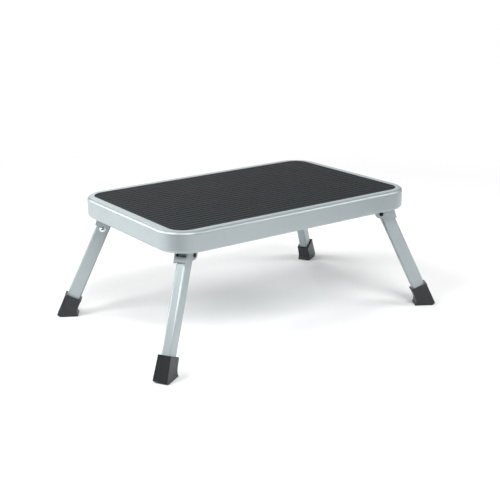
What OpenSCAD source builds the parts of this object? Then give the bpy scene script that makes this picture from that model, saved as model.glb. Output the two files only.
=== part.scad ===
// Folding step stool: a sheet-metal deck tray with an anti-slip tread mat, and four legs
// that lie along the deck's diagonals and fold flat under the tray.
// +X runs along the deck, +Y across it, +Z up. The origin is on the floor under the deck's centre.

/* [Deck] */
// Deck length along X
deck_length = 430; // [380:1:460]
// Deck width across Y
deck_width = 284; // [240:1:300]
// Height of the deck's rim above the floor
stool_height = 193; // [170:1:220]
// Depth of the rim, from its top to its lower edge
rim_depth = 30; // [20:1:40]
// Outer radius of the deck's corners
corner_radius = 42.5; // [25:0.5:60]
// Thickness of the deck's sheet
sheet = 1.5; // [1:0.1:2.5]
// Radius of the rolled upper edge of the rim
top_roll = 5; // [3:0.5:8]
// Radius of the rolled lower edge of the rim
bottom_roll = 4; // [2.5:0.5:6]
// Width of the lower lip that the rim turns inwards
lip_width = 7; // [5:0.5:12]

/* [Tread mat] */
// Distance from the deck's outer edge to the mat's recess
mat_inset = 12.7; // [8:0.1:25]
// Corner radius of the recess
mat_corner_radius = 23.6; // [15:0.1:40]
// Thickness of the mat
mat_thickness = 2.5; // [2:0.1:4]
// Spacing of the ribs on the mat
rib_pitch = 9.6; // [5:0.1:15]
// Depth of the grooves between the ribs
groove_depth = 0.7; // [0.2:0.1:1]

/* [Legs] */
// Distance of the leg hinges from the deck's centre along X
hinge_x = 175.7; // [150:0.1:185]
// Distance of the leg hinges from the deck's centre across Y
hinge_y = 110.5; // [80:0.1:120]
// Height of the leg hinges above the floor
hinge_z = 153.2; // [140:0.1:180]
// Plan direction of the legs, measured from the X axis
leg_bearing = 31.1; // [25:0.1:40]
// Outward lean of the legs from the vertical
leg_lean = 25.1; // [15:0.1:30]
// Depth of the leg tube in the plane it leans in
tube_depth = 20.9; // [16:0.1:25]
// Width of the leg tube across that plane
tube_width = 14; // [12:0.5:20]
// Wall thickness of the leg tube
tube_wall = 1.2; // [1:0.1:2]
// Outer corner radius of the leg tube
tube_radius = 2.5; // [1.5:0.1:4]
// Length of tube above the hinge
tube_above_hinge = 6.5; // [4:0.5:9]
// Length of tube below the hinge
tube_below_hinge = 163; // [150:0.5:180]
// Distance from the hinge to the tube's inner face
hinge_to_inner_face = 3.4; // [3:0.1:7]

/* [Hinges] */
// Thickness of the bracket's sheet
bracket_sheet = 2.5; // [1.5:0.1:3]
// Gap between the leg and each cheek of the bracket
cheek_gap = 0.4; // [0.3:0.1:1]
// Radius of the cheek's inner corner
cheek_radius = 6.5; // [5:0.5:9]
// Radius of the hinge pin
pin_radius = 2; // [1.8:0.05:2.5]
// Running clearance of the pin in the leg
pin_clearance = 0.05; // [0.02:0.01:0.1]
// Distance of the cheek's inner corner from the hinge, inwards
cheek_offset = 2.5; // [0:0.1:5]
// Outward lean of the bracket's outer end from the vertical
strap_lean = 19; // [10:0.5:25]
// Drop of the stop strap's lower edge below the hinge
strap_drop = 4.6; // [3:0.1:6.5]
// Height of the stop strap
strap_height = 7; // [4:0.1:9]

/* [Release buttons] */
// Distance down the leg from the hinge to the button
button_drop = 19.6; // [16:0.1:35]
// Radius of the button
button_radius = 4; // [3:0.1:5]
// Height of the button's dome above the tube
button_height = 2.4; // [1.5:0.1:4]

/* [Feet] */
// Outer depth of the foot, in the plane the leg leans in
foot_depth = 25.4; // [23:0.1:28]
// Outer width of the foot at the mouth of its sleeve
foot_width = 19.4; // [17:0.1:22]
// Length of the foot along the leg, up from the floor
foot_length = 33.8; // [25:0.1:45]
// Reach of the sole inwards from the leg's centre line
sole_inner = 20; // [16:0.5:22]
// Reach of the sole outwards from the leg's centre line
sole_outer = 7.6; // [4:0.1:10]
// Width of the sole
sole_width = 22; // [20:0.1:26]
// Height of the bevelled toe on the leg's outer side
toe_height = 3.6; // [2:0.1:6]
// Height at which the heel leaves the leg's inner side
heel_height = 9; // [7:0.5:12]

/* [Hidden] */
$fn = 64;
fit_gap = 0.1;
through = 1;
half_length = deck_length / 2;
half_width = deck_width / 2;
rim_bottom = stool_height - rim_depth;
panel_top = stool_height - mat_thickness;
panel_bottom = panel_top - sheet;
recess_length = deck_length - 2 * mat_inset;
recess_width = deck_width - 2 * mat_inset;
corner_x = half_length - corner_radius;
corner_y = half_width - corner_radius;
land_width = 18;
mat_gap = 0.3;
groove_width = 2.2;
groove_margin = 4;

tube_centre = tube_depth / 2 - hinge_to_inner_face;
tube_outer_face = tube_depth - hinge_to_inner_face;
web_height = panel_bottom - hinge_z;
cheek_span = tube_width / 2 + cheek_gap;
bracket_span = cheek_span + bracket_sheet;
strap_touch = (tube_outer_face + fit_gap) / cos(leg_lean) + strap_drop * tan(leg_lean);
strap_back = strap_touch + bracket_sheet / cos(strap_lean);
shoulder_height = 12;
rivet_radius = 2;
rivet_head_radius = 3.6;
rivet_head_height = 1.8;
rivet_fit = 0.03;
rivet_reach = [-2, 11.5];

pin_head_radius = 3.3;
pin_head_height = 0.9;
pin_hollow_radius = 1.3;
pin_hollow_depth = 3;
pin_fit = 0.03;

axis_drop = (hinge_z + tube_centre * sin(leg_lean)) / cos(leg_lean);
axis_reach = tube_centre * cos(leg_lean) + axis_drop * sin(leg_lean);
foot_top = axis_drop - foot_length;
foot_inner_face = tube_centre - foot_depth / 2;
foot_outer_face = tube_centre + foot_depth / 2;
foot_rim = 0.6;
foot_rim_height = 2;
foot_rim_radius = 1.5;
heel_lip = 1.4;
heel_hollow = 1.6;

button_fit = 0.8;
button_flange_radius = 5.8;
button_flange = 1.2;
dome_radius = (button_radius * button_radius + button_height * button_height) / (2 * button_height);
spring_sheet = 0.5;
spring_width = 8;
spring_length = 34;

// A rectangle with round corners, centred on the origin
module round_rect(length, width, radius) {
    square([length - 2 * radius, width], center = true);
    square([length, width - 2 * radius], center = true);
    for (x = [-1, 1]) {
        for (y = [-1, 1]) {
            translate([x * (length / 2 - radius), y * (width / 2 - radius)])
                circle(r = radius);
        }
    }
}

// The rim's outline seen end-on, shrunk by an inset; x = 0 is the centre of a deck corner
module rim_outline(inset) {
    low = rim_bottom + inset;
    high = stool_height - inset;
    side = corner_radius - inset;
    upper = top_roll - inset;
    lower = bottom_roll - inset;
    translate([0, low])
        square([side - lower, high - low]);
    translate([0, low + lower])
        square([side, high - low - lower - upper]);
    translate([0, low])
        square([side - upper, high - low]);
    translate([side - upper, high - upper])
        circle(r = upper);
    translate([side - lower, low + lower])
        circle(r = lower);
}

// The rim's sheet seen end-on: top land, upright wall and inward lip
module rim_section() {
    middle = (rim_bottom + stool_height) / 2;
    difference() {
        rim_outline(0);
        rim_outline(sheet);
        translate([-through, middle])
            square([corner_radius - land_width + through, rim_depth]);
        translate([-through, rim_bottom - through])
            square([corner_radius - lip_width + through, middle - rim_bottom + through]);
    }
}

// Straight run of the rim along one edge, drawn around the corner centre
module rim_run(length) {
    rotate([90, 0, 0])
        linear_extrude(height = length, center = true)
            rim_section();
}

// Recessed panel that carries the mat
module deck_pan() {
    difference() {
        translate([0, 0, panel_bottom])
            linear_extrude(height = stool_height - panel_bottom)
                round_rect(recess_length + 2 * sheet, recess_width + 2 * sheet, mat_corner_radius + sheet);
        translate([0, 0, panel_top])
            linear_extrude(height = mat_thickness + through)
                round_rect(recess_length, recess_width, mat_corner_radius);
    }
}

// The rolled rim all round the deck, with the recess opening cut out of its top land
module deck_rim() {
    difference() {
        union() {
            translate([corner_x, 0, 0])
                rim_run(2 * corner_y);
            translate([-corner_x, 0, 0])
                mirror([1, 0, 0])
                    rim_run(2 * corner_y);
            translate([0, corner_y, 0])
                rotate([0, 0, 90])
                    rim_run(2 * corner_x);
            translate([0, -corner_y, 0])
                rotate([0, 0, -90])
                    rim_run(2 * corner_x);
            for (turn = [0 : 3]) {
                translate([turn == 0 || turn == 3 ? corner_x : -corner_x, turn < 2 ? corner_y : -corner_y, 0])
                    rotate([0, 0, 90 * turn])
                        rotate_extrude(angle = 90)
                            rim_section();
            }
        }
        translate([0, 0, panel_bottom])
            linear_extrude(height = mat_thickness + sheet + through)
                round_rect(recess_length, recess_width, mat_corner_radius);
    }
}

module deck_tray() {
    color("silver")
        difference() {
            union() {
                deck_rim();
                deck_pan();
            }
            each_corner()
                rivet_places()
                    cylinder(r = rivet_radius + rivet_fit, h = 4 * sheet, center = true);
        }
}

// Half length of the groove at a distance y from the mat's centre, shorter beside the round corners
function groove_reach(y) =
    let (past = max(0, abs(y) - (recess_width / 2 - mat_corner_radius)))
    recess_length / 2 - groove_margin - mat_corner_radius
        + sqrt(mat_corner_radius * mat_corner_radius - past * past);

// Grooves leave the mat's ribs standing; its margin stays smooth
module tread_mat() {
    grooved_width = recess_width - 2 * groove_margin;
    groove_count = floor(grooved_width / rib_pitch);
    first_groove = -(groove_count - 1) / 2 * rib_pitch;
    color("dimgray")
        difference() {
            translate([0, 0, panel_top])
                linear_extrude(height = mat_thickness)
                    round_rect(recess_length - 2 * mat_gap, recess_width - 2 * mat_gap, mat_corner_radius - mat_gap);
            for (i = [0 : groove_count - 1]) {
                translate([0, first_groove + i * rib_pitch, stool_height])
                    cube([2 * groove_reach(first_groove + i * rib_pitch), groove_width, 2 * groove_depth],
                         center = true);
            }
        }
}

// Moves a hinge drawn at the origin to one corner; x points outwards along the leg's bearing
module at_corner(side_x, side_y) {
    mirror([side_x < 0 ? 1 : 0, 0, 0])
        mirror([0, side_y < 0 ? 1 : 0, 0])
            translate([hinge_x, hinge_y, hinge_z])
                rotate([0, 0, leg_bearing])
                    children();
}

module each_corner() {
    for (side_x = [-1, 1]) {
        for (side_y = [-1, 1]) {
            at_corner(side_x, side_y)
                children();
        }
    }
}

// Leans a leg drawn upright below the hinge; x is then square to the leg's outer face
module leaning() {
    rotate([0, -leg_lean, 0])
        children();
}

// Centres of the bracket's rivets, at the underside of the deck panel
module rivet_places() {
    for (reach = rivet_reach) {
        translate([reach, 0, web_height])
            children();
    }
}

// Side view of a bracket cheek: x outwards, y up, hinge at the origin
module cheek_outline() {
    lower = -cheek_radius;
    outer_low = strap_back + (cheek_radius - strap_drop) * tan(strap_lean);
    outer_high = strap_back - (shoulder_height + strap_drop) * tan(strap_lean);
    polygon([
        [-cheek_offset, lower],
        [outer_low, lower],
        [outer_high, shoulder_height],
        [outer_high, web_height],
        [-cheek_offset - cheek_radius, web_height],
        [-cheek_offset - cheek_radius, 0],
        [-cheek_offset, 0]
    ]);
    translate([-cheek_offset, 0])
        circle(r = cheek_radius);
}

// Side view of the stop strap; its lower inner edge meets the leg's outer face
module strap_outline() {
    rise = strap_height * tan(strap_lean);
    translate([0, -strap_drop])
        polygon([
            [strap_touch, 0],
            [strap_back, 0],
            [strap_back - rise, strap_height],
            [strap_touch - rise, strap_height]
        ]);
}

// Sheet saddle: two cheeks hang from a web under the deck and a strap joins them at the outer end
module hinge_bracket() {
    web_inner = cheek_offset + cheek_radius;
    web_outer = strap_back - (shoulder_height + strap_drop) * tan(strap_lean);
    color("silver")
        difference() {
            union() {
                for (side = [-1, 1]) {
                    translate([0, side * (cheek_span + bracket_sheet / 2), 0])
                        rotate([90, 0, 0])
                            linear_extrude(height = bracket_sheet, center = true)
                                cheek_outline();
                }
                rotate([90, 0, 0])
                    linear_extrude(height = 2 * cheek_span + bracket_sheet, center = true)
                        strap_outline();
                translate([-web_inner, -bracket_span, web_height - bracket_sheet])
                    cube([web_outer + web_inner, 2 * bracket_span, bracket_sheet]);
            }
            rotate([90, 0, 0])
                cylinder(r = pin_radius + pin_fit, h = 4 * bracket_span, center = true);
            rivet_places()
                cylinder(r = rivet_radius + rivet_fit, h = 4 * bracket_sheet, center = true);
        }
}

// Button-head rivets that hold the bracket webs to the deck panel
module bracket_rivets() {
    color("gainsboro")
        each_corner()
            rivet_places() {
                translate([0, 0, -bracket_sheet])
                    cylinder(r = rivet_radius, h = bracket_sheet + sheet);
                translate([0, 0, -bracket_sheet - rivet_head_height])
                    cylinder(r = rivet_head_radius, h = rivet_head_height);
            }
}

// Hollow-ended pin with a low head outside each cheek
module hinge_pin() {
    color("dimgray")
        rotate([90, 0, 0])
            difference() {
                union() {
                    cylinder(r = pin_radius, h = 2 * bracket_span + pin_head_height, center = true);
                    for (side = [-1, 1]) {
                        translate([0, 0, side * (bracket_span + pin_head_height / 2)])
                            cylinder(r = pin_head_radius, h = pin_head_height, center = true);
                    }
                }
                for (side = [-1, 1]) {
                    translate([0, 0, side * (bracket_span + pin_head_height)])
                        cylinder(r = pin_hollow_radius, h = 2 * pin_hollow_depth, center = true);
                }
            }
}

module tube_outline(grow) {
    translate([tube_centre, 0])
        round_rect(tube_depth + 2 * grow, tube_width + 2 * grow, tube_radius + grow);
}

// Closed rectangular tube with the hinge hole and the button hole
module leg_tube() {
    color("silver")
        leaning()
            difference() {
                translate([0, 0, -tube_below_hinge])
                    linear_extrude(height = tube_below_hinge + tube_above_hinge)
                        difference() {
                            tube_outline(0);
                            tube_outline(-tube_wall);
                        }
                rotate([90, 0, 0])
                    cylinder(r = pin_radius + pin_clearance, h = 2 * tube_width, center = true);
                translate([tube_centre, -tube_width / 2, -button_drop])
                    rotate([90, 0, 0])
                        cylinder(r = button_radius + button_fit, h = 4 * tube_wall, center = true);
            }
}

// Domed button, flanged inside the tube so that it can't fall out
module release_button() {
    flange_face = tube_width / 2 - tube_wall;
    color("white")
        leaning()
            translate([tube_centre, 0, -button_drop])
                rotate([90, 0, 0]) {
                    translate([0, 0, flange_face - button_flange])
                        cylinder(r = button_flange_radius, h = button_flange);
                    translate([0, 0, flange_face - button_flange / 2])
                        cylinder(r = button_radius, h = tube_wall + button_flange / 2);
                    translate([0, 0, tube_width / 2])
                        intersection() {
                            translate([0, 0, button_height - dome_radius])
                                sphere(r = dome_radius);
                            cylinder(r = button_radius, h = 2 * button_height);
                        }
                }
}

// Bent strip spring: its flat end bears on the button's flange, its back on the far wall
module button_spring() {
    back = tube_width / 2 - tube_wall;
    front = back - button_flange;
    flat_end = 6;
    bend = 7;
    color("lightsteelblue")
        leaning()
            translate([tube_centre, 0, -button_drop])
                rotate([0, 90, 0])
                    linear_extrude(height = spring_width, center = true)
                        polygon([
                            [-flat_end, back],
                            [spring_length, back],
                            [bend, -front],
                            [-flat_end, -front],
                            [-flat_end, spring_sheet - front],
                            [bend, spring_sheet - front],
                            [spring_length - 6 * spring_sheet, back - spring_sheet],
                            [-flat_end, back - spring_sheet]
                        ]);
}

// How far out from the hinge a face of the leg is at a height above the floor
function face_reach(across, height) = across / cos(leg_lean) + (hinge_z - height) * tan(leg_lean);

// A point of the leaning leg's side view: across the leg from the hinge, and down the leg
function leg_point(across, down) = [
    across * cos(leg_lean) + down * sin(leg_lean),
    across * sin(leg_lean) - down * cos(leg_lean)
];

// Side view of the foot: x outwards, y up, hinge at the origin
module foot_side() {
    polygon([
        leg_point(foot_inner_face, foot_top),
        leg_point(foot_outer_face, foot_top),
        [face_reach(foot_outer_face, toe_height), toe_height - hinge_z],
        [axis_reach + sole_outer, -hinge_z],
        [axis_reach - sole_inner, -hinge_z],
        [axis_reach - sole_inner, heel_lip - hinge_z],
        [axis_reach - sole_inner + heel_hollow, heel_height / 2 - hinge_z],
        [face_reach(foot_inner_face, heel_height), heel_height - hinge_z]
    ]);
}

// End view of the foot, which widens from its sleeve to its sole: x across the leg, y up the leg
module foot_front() {
    polygon([
        [-foot_width / 2, -foot_top],
        [foot_width / 2, -foot_top],
        [sole_width / 2, -axis_drop],
        [sole_width / 2, -axis_drop - foot_depth],
        [-sole_width / 2, -axis_drop - foot_depth],
        [-sole_width / 2, -axis_drop]
    ]);
}

// Rubber foot: a sleeve over the tube's end with a rim at its mouth, a bevelled toe and a hollowed heel
module foot() {
    color("black")
        difference() {
            union() {
                intersection() {
                    rotate([90, 0, 0])
                        linear_extrude(height = 2 * sole_width, center = true)
                            foot_side();
                    leaning()
                        rotate([90, 0, 90])
                            linear_extrude(height = 4 * foot_depth, center = true)
                                foot_front();
                }
                leaning()
                    translate([tube_centre, 0, -foot_top - foot_rim_height])
                        linear_extrude(height = foot_rim_height)
                            round_rect(foot_depth + 2 * foot_rim, foot_width + 2 * foot_rim,
                                       foot_rim_radius);
            }
            leaning()
                translate([0, 0, -tube_below_hinge])
                    linear_extrude(height = tube_below_hinge)
                        tube_outline(fit_gap);
        }
}

deck_tray();
tread_mat();
bracket_rivets();
at_corner(-1, -1) hinge_bracket();  // hinge_bracket_front_left
at_corner(1, -1) hinge_bracket();  // hinge_bracket_front_right
at_corner(-1, 1) hinge_bracket();  // hinge_bracket_back_left
at_corner(1, 1) hinge_bracket();  // hinge_bracket_back_right
at_corner(-1, -1) hinge_pin();  // hinge_pin_front_left
at_corner(1, -1) hinge_pin();  // hinge_pin_front_right
at_corner(-1, 1) hinge_pin();  // hinge_pin_back_left
at_corner(1, 1) hinge_pin();  // hinge_pin_back_right
at_corner(-1, -1) leg_tube();  // leg_tube_front_left
at_corner(1, -1) leg_tube();  // leg_tube_front_right
at_corner(-1, 1) leg_tube();  // leg_tube_back_left
at_corner(1, 1) leg_tube();  // leg_tube_back_right
at_corner(-1, -1) foot();  // foot_front_left
at_corner(1, -1) foot();  // foot_front_right
at_corner(-1, 1) foot();  // foot_back_left
at_corner(1, 1) foot();  // foot_back_right
at_corner(-1, -1) release_button();  // release_button_front_left
at_corner(1, -1) release_button();  // release_button_front_right
at_corner(-1, 1) release_button();  // release_button_back_left
at_corner(1, 1) release_button();  // release_button_back_right
at_corner(-1, -1) button_spring();  // button_spring_front_left
at_corner(1, -1) button_spring();  // button_spring_front_right
at_corner(-1, 1) button_spring();  // button_spring_back_left
at_corner(1, 1) button_spring();  // button_spring_back_right
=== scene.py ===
"""Looks for the folding step stool: materials, softened edges, floor, lights and camera."""

import math

import bmesh
import bpy
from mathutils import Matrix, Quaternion, Vector


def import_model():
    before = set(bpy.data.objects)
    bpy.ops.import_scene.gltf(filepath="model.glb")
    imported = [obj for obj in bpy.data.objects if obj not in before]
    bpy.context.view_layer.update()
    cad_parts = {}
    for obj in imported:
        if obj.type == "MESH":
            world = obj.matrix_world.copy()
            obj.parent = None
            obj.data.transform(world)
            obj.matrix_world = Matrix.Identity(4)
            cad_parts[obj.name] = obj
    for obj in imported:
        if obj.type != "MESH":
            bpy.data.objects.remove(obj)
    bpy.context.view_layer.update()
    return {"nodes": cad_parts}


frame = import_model()
CORNERS = ("front_left", "front_right", "back_left", "back_right")

# Sockets of a mix node that mixes colours: its factor, its two colours and its result.
MIX_FACTOR = 0
MIX_FIRST = 6
MIX_SECOND = 7
MIX_RESULT = 2

# Edge rounding: widths and the weld distance in metres, the sharp angle in degrees.
BRACKET_EDGE = 0.0003
FOOT_EDGE = 0.0007
TUBE_EDGE = 0.0002
WELD_DISTANCE = 0.00001
SHARP_ANGLE = 35

# Floor disc and backdrop, in metres. Between the two fade distances from its centre, the floor
# turns from matt into plain white light.
FLOOR_RADIUS = 1.6
FLOOR_SEGMENTS = 96
FLOOR_DROP = 0.0002
FADE_START = 0.8
FADE_END = 1.25
BACKDROP_RADIUS = 20.0
BACKDROP_SUBDIVISIONS = 4

# The lights aim at a point inside the stool. Places and heights are in metres.
LIGHT_TARGET = (0, 0, 0.1)
WORLD_STRENGTH = 0.11
CARD_HEIGHT = 0.45

# Camera: place and reach in metres, directions in degrees, lens and sensor in millimetres.
CAMERA_PLACE = (-0.8206, -1.1632, 0.5469)
CAMERA_AZIMUTH = 35.38
CAMERA_ELEVATION = 17.51
CAMERA_ROLL = -0.57
CAMERA_LENS = 68.81
CAMERA_SENSOR = 36.0
CAMERA_REACH = 400


# ---------------------------------------------------------------- materials


class Graph:
    """A short way to add nodes to a new material and join them."""

    def __init__(self, name):
        self.material = bpy.data.materials.new(name)
        self.material.use_nodes = True
        self.tree = self.material.node_tree
        self.shader = self.tree.nodes["Principled BSDF"]
        self.place = self.node("ShaderNodeTexCoord").outputs["Object"]

    def node(self, kind, **settings):
        made = self.tree.nodes.new(kind)
        for key, value in settings.items():
            setattr(made, key, value)
        return made

    def join(self, source, target):
        self.tree.links.new(source, target)

    def noise(self, scale, detail, stretch=(1, 1, 1)):
        mapping = self.node("ShaderNodeMapping")
        mapping.inputs["Scale"].default_value = stretch
        self.join(self.place, mapping.inputs["Vector"])
        made = self.node("ShaderNodeTexNoise")
        made.inputs["Scale"].default_value = scale
        made.inputs["Detail"].default_value = detail
        self.join(mapping.outputs["Vector"], made.inputs["Vector"])
        return made.outputs["Fac"]

    def grey_ramp(self, source, start, end):
        """Greys between two stops, each a position and a level."""
        made = self.node("ShaderNodeValToRGB")
        for stop, (position, level) in zip(made.color_ramp.elements, (start, end)):
            stop.position = position
            stop.color = (level, level, level, 1)
        self.join(source, made.inputs["Fac"])
        return made.outputs["Color"]

    def spread(self, source, low, high):
        """A value between 0 and 1, spread over low to high."""
        made = self.node("ShaderNodeMapRange")
        made.inputs["To Min"].default_value = low
        made.inputs["To Max"].default_value = high
        self.join(source, made.inputs["Value"])
        return made.outputs["Result"]

    def mix(self, factor, first, second):
        """Two fixed colours, mixed by another node's value."""
        made = self.node("ShaderNodeMix", data_type="RGBA")
        self.join(factor, made.inputs[MIX_FACTOR])
        made.inputs[MIX_FIRST].default_value = (*first, 1)
        made.inputs[MIX_SECOND].default_value = (*second, 1)
        return made.outputs[MIX_RESULT]

    def multiply(self, first, second):
        """Two other nodes' colours, multiplied."""
        made = self.node("ShaderNodeMix", data_type="RGBA", blend_type="MULTIPLY")
        made.inputs[MIX_FACTOR].default_value = 1.0
        self.join(first, made.inputs[MIX_FIRST])
        self.join(second, made.inputs[MIX_SECOND])
        return made.outputs[MIX_RESULT]

    def bump(self, height, distance):
        made = self.node("ShaderNodeBump")
        made.inputs["Distance"].default_value = distance
        made.inputs["Strength"].default_value = 1.0
        self.join(height, made.inputs["Height"])
        self.join(made.outputs["Normal"], self.shader.inputs["Normal"])

    def colour(self, source):
        self.join(source, self.shader.inputs["Base Color"])

    def rough(self, source):
        self.join(source, self.shader.inputs["Roughness"])

    def fixed(self, **values):
        for key, value in values.items():
            self.shader.inputs[key.replace("_", " ")].default_value = value


def silver_paint():
    """Pale metallic paint with fine flakes, faint clouding and a little orange peel."""
    g = Graph("silver_paint")
    flake = g.noise(scale=5200, detail=1.0)
    cloud = g.noise(scale=14, detail=3.0)
    peel = g.noise(scale=900, detail=2.0)
    tint = g.mix(cloud, (0.405, 0.460, 0.476), (0.448, 0.505, 0.521))
    glint = g.grey_ramp(flake, start=(0.42, 0.86), end=(0.60, 1.0))
    g.colour(g.multiply(tint, glint))
    g.rough(g.spread(cloud, 0.40, 0.47))
    g.fixed(Metallic=0.5, Coat_Weight=0.10, Coat_Roughness=0.35)
    g.bump(peel, distance=0.00004)
    return g.material


def tread_rubber():
    """Dry charcoal rubber with a fine grain and a trace of dust."""
    g = Graph("tread_rubber")
    grain = g.noise(scale=2400, detail=2.0)
    dust = g.noise(scale=26, detail=4.0)
    g.colour(g.mix(dust, (0.012, 0.015, 0.017), (0.019, 0.023, 0.026)))
    g.rough(g.spread(grain, 0.55, 0.75))
    g.fixed(Specular_IOR_Level=0.16)
    g.bump(grain, distance=0.0001)
    return g.material


def foot_rubber():
    """Smooth black moulded rubber with light scuffs and a slight shine."""
    g = Graph("foot_rubber")
    grain = g.noise(scale=1800, detail=2.0)
    scuff = g.noise(scale=120, detail=4.0, stretch=(1, 1, 0.4))
    g.colour(g.mix(scuff, (0.006, 0.007, 0.008), (0.016, 0.018, 0.020)))
    g.rough(g.spread(scuff, 0.38, 0.55))
    g.fixed(Specular_IOR_Level=0.25, Coat_Weight=0.35, Coat_Roughness=0.18, Coat_IOR=1.7)
    g.bump(grain, distance=0.00008)
    return g.material


def button_chrome():
    """Bright plating, slightly smeared by fingers."""
    g = Graph("button_chrome")
    smear = g.noise(scale=300, detail=3.0)
    g.colour(g.mix(smear, (0.78, 0.79, 0.80), (0.88, 0.89, 0.90)))
    g.rough(g.spread(smear, 0.06, 0.16))
    g.fixed(Metallic=1.0)
    g.bump(smear, distance=0.00001)
    return g.material


def steel(name, dark, light, smoothest, roughest):
    """Bare or treated steel with a drawn grain."""
    g = Graph(name)
    brush = g.noise(scale=700, detail=3.0, stretch=(0.15, 1, 1))
    g.colour(g.mix(brush, dark, light))
    g.rough(g.spread(brush, smoothest, roughest))
    g.fixed(Metallic=1.0)
    g.bump(brush, distance=0.00002)
    return g.material


def white_backdrop():
    """White light with a very faint unevenness."""
    g = Graph("white_backdrop")
    cloud = g.noise(scale=0.05, detail=1.0)
    g.fixed(Base_Color=(0, 0, 0, 1), Specular_IOR_Level=0.0, Emission_Strength=1.0)
    glow = g.mix(cloud, (1.0, 1.0, 1.0), (1.02, 1.02, 1.02))
    g.join(glow, g.shader.inputs["Emission Color"])
    return g.material


def black_card():
    """Matt black card with a soft nap."""
    g = Graph("black_card")
    nap = g.noise(scale=60, detail=2.0)
    g.colour(g.mix(nap, (0.02, 0.02, 0.02), (0.03, 0.03, 0.03)))
    g.fixed(Roughness=0.9, Specular_IOR_Level=0.1)
    return g.material


def pale_floor():
    """Matt pale floor that turns into plain white light towards the disc's edge."""
    g = Graph("pale_floor")
    cloud = g.noise(scale=0.8, detail=2.0)
    g.colour(g.mix(cloud, (0.90, 0.90, 0.90), (0.92, 0.92, 0.92)))
    g.fixed(Roughness=0.85, Specular_IOR_Level=0.1)
    reach = g.node("ShaderNodeVectorMath", operation="LENGTH")
    g.join(g.place, reach.inputs["Vector"])
    fade = g.node("ShaderNodeMapRange", interpolation_type="SMOOTHSTEP")
    fade.inputs["From Min"].default_value = FADE_START
    fade.inputs["From Max"].default_value = FADE_END
    g.join(reach.outputs["Value"], fade.inputs["Value"])
    glow = g.node("ShaderNodeEmission")
    blend = g.node("ShaderNodeMixShader")
    factor, matt, plain = blend.inputs
    g.join(fade.outputs["Result"], factor)
    g.join(g.shader.outputs["BSDF"], matt)
    g.join(glow.outputs["Emission"], plain)
    g.join(blend.outputs["Shader"], g.tree.nodes["Material Output"].inputs["Surface"])
    return g.material


# ---------------------------------------------------------------- pieces


def give(node, material):
    """Makes one material the only one on a CAD node."""
    mesh = frame["nodes"][node].data
    mesh.materials.clear()
    mesh.materials.append(material)


def soften(node, width, segments):
    """Rounds a CAD node's sharp edges with modifiers; its own mesh stays as it is."""
    piece = frame["nodes"][node]
    weld = piece.modifiers.new("weld", "WELD")
    weld.merge_threshold = WELD_DISTANCE
    bevel = piece.modifiers.new("bevel", "BEVEL")
    bevel.width = width
    bevel.segments = segments
    bevel.limit_method = "ANGLE"
    bevel.angle_limit = math.radians(SHARP_ANGLE)
    bevel.harden_normals = True


def dress():
    """Gives every CAD node its material and rounds the edges that catch the light."""
    paint = silver_paint()
    tread = tread_rubber()
    rubber = foot_rubber()
    chrome = button_chrome()
    zinc = steel("fastener_steel", (0.48, 0.49, 0.51), (0.62, 0.63, 0.65), 0.25, 0.4)
    black_oxide = steel("pin_steel", (0.018, 0.018, 0.020), (0.035, 0.035, 0.037), 0.3, 0.45)
    strip = steel("spring_steel", (0.36, 0.37, 0.39), (0.50, 0.51, 0.53), 0.3, 0.45)
    give("deck_tray", paint)
    give("tread_mat", tread)
    give("bracket_rivets", zinc)
    for corner in CORNERS:
        give("hinge_bracket_" + corner, paint)
        give("hinge_pin_" + corner, black_oxide)
        give("leg_tube_" + corner, paint)
        give("foot_" + corner, rubber)
        give("release_button_" + corner, chrome)
        give("button_spring_" + corner, strip)
        soften("hinge_bracket_" + corner, BRACKET_EDGE, segments=2)
        soften("foot_" + corner, FOOT_EDGE, segments=3)
        soften("leg_tube_" + corner, TUBE_EDGE, segments=1)


# ---------------------------------------------------------------- studio


def set_piece(name, mesh, material):
    """An object for the studio, made from a mesh and a material."""
    mesh.materials.append(material)
    made = bpy.data.objects.new(name, mesh)
    bpy.context.collection.objects.link(made)
    return made


def floor():
    """A pale disc under the stool, inside a white backdrop that only the camera sees."""
    mesh = bpy.data.meshes.new("floor")
    form = bmesh.new()
    bmesh.ops.create_circle(form, cap_ends=True, segments=FLOOR_SEGMENTS, radius=FLOOR_RADIUS)
    form.to_mesh(mesh)
    disc = set_piece("floor", mesh, pale_floor())
    disc.location.z = -FLOOR_DROP
    mesh = bpy.data.meshes.new("backdrop")
    form = bmesh.new()
    bmesh.ops.create_icosphere(form, subdivisions=BACKDROP_SUBDIVISIONS, radius=BACKDROP_RADIUS)
    form.to_mesh(mesh)
    dome = set_piece("backdrop", mesh, white_backdrop())
    dome.visible_diffuse = False
    dome.visible_glossy = False
    dome.visible_transmission = False
    dome.visible_shadow = False


def flag(name, left, right):
    """A dark card on the floor that only reflections see, to shade the paint as a studio does."""
    mesh = bpy.data.meshes.new(name)
    (x0, y0), (x1, y1) = left, right
    corners = [(x0, y0, 0), (x1, y1, 0), (x1, y1, CARD_HEIGHT), (x0, y0, CARD_HEIGHT)]
    mesh.from_pydata(corners, [], [(0, 1, 2, 3)])
    card = set_piece(name, mesh, black_card())
    card.visible_camera = False
    card.visible_diffuse = False
    card.visible_shadow = False


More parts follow.
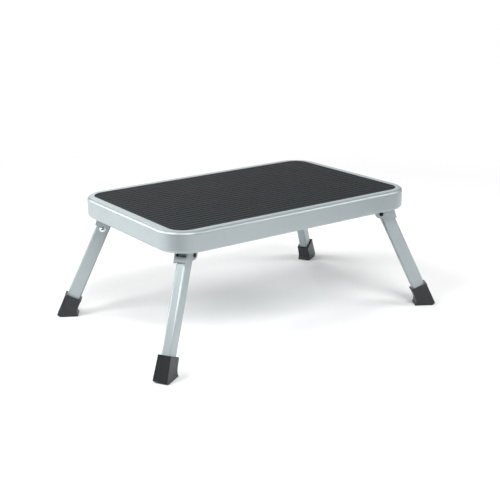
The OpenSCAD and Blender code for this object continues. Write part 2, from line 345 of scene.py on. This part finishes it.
def area_light(name, place, size, power):
    """A rectangular light, aimed at the stool and not seen by the camera."""
    data = bpy.data.lights.new(name, "AREA")
    data.shape = "RECTANGLE"
    data.size, data.size_y = size
    data.energy = power
    lamp = bpy.data.objects.new(name, data)
    bpy.context.collection.objects.link(lamp)
    lamp.location = place
    lamp.visible_camera = False
    ahead = Vector(LIGHT_TARGET) - lamp.location
    lamp.rotation_euler = ahead.to_track_quat("-Z", "Y").to_euler()


def world():
    """A faint even white light from all round."""
    made = bpy.data.worlds.new("studio")
    made.use_nodes = True
    background = made.node_tree.nodes["Background"]
    background.inputs["Color"].default_value = (1.0, 1.0, 1.0, 1)
    background.inputs["Strength"].default_value = WORLD_STRENGTH
    bpy.context.scene.world = made


def camera():
    data = bpy.data.cameras.new("camera")
    data.sensor_width = CAMERA_SENSOR
    data.lens = CAMERA_LENS
    data.clip_end = CAMERA_REACH
    eye = bpy.data.objects.new("camera", data)
    bpy.context.collection.objects.link(eye)
    azimuth, elevation = math.radians(CAMERA_AZIMUTH), math.radians(CAMERA_ELEVATION)
    ahead = Vector((math.sin(azimuth) * math.cos(elevation),
                    math.cos(azimuth) * math.cos(elevation),
                    -math.sin(elevation)))
    roll = Quaternion((0, 0, 1), math.radians(CAMERA_ROLL))
    eye.location = CAMERA_PLACE
    eye.rotation_euler = (ahead.to_track_quat("-Z", "Y") @ roll).to_euler()
    bpy.context.scene.camera = eye


def studio():
    """Camera, floor, lights and dark cards around the stool."""
    camera()
    floor()
    world()
    area_light("left", place=(-2.0, 0.1, 2.1), size=(1.2, 1.2), power=46)
    area_light("front", place=(-0.6, -1.6, 2.3), size=(1.1, 1.1), power=46)
    area_light("front_right", place=(1.6, -1.3, 1.2), size=(1.0, 1.0), power=23)
    area_light("left_low", place=(-1.9, 1.7, 0.9), size=(1.2, 1.2), power=44)
    area_light("back", place=(0.4, 2.2, 1.8), size=(1.2, 1.2), power=12)
    area_light("back_low", place=(1.5, 2.1, 0.95), size=(2.2, 1.2), power=8)
    flag("near_flag", left=(-0.72, -0.08), right=(-0.42, -0.52))
    flag("right_flag", left=(0.36, -0.50), right=(1.20, -0.30))
    bpy.context.scene.view_settings.view_transform = "Standard"


dress()
studio()
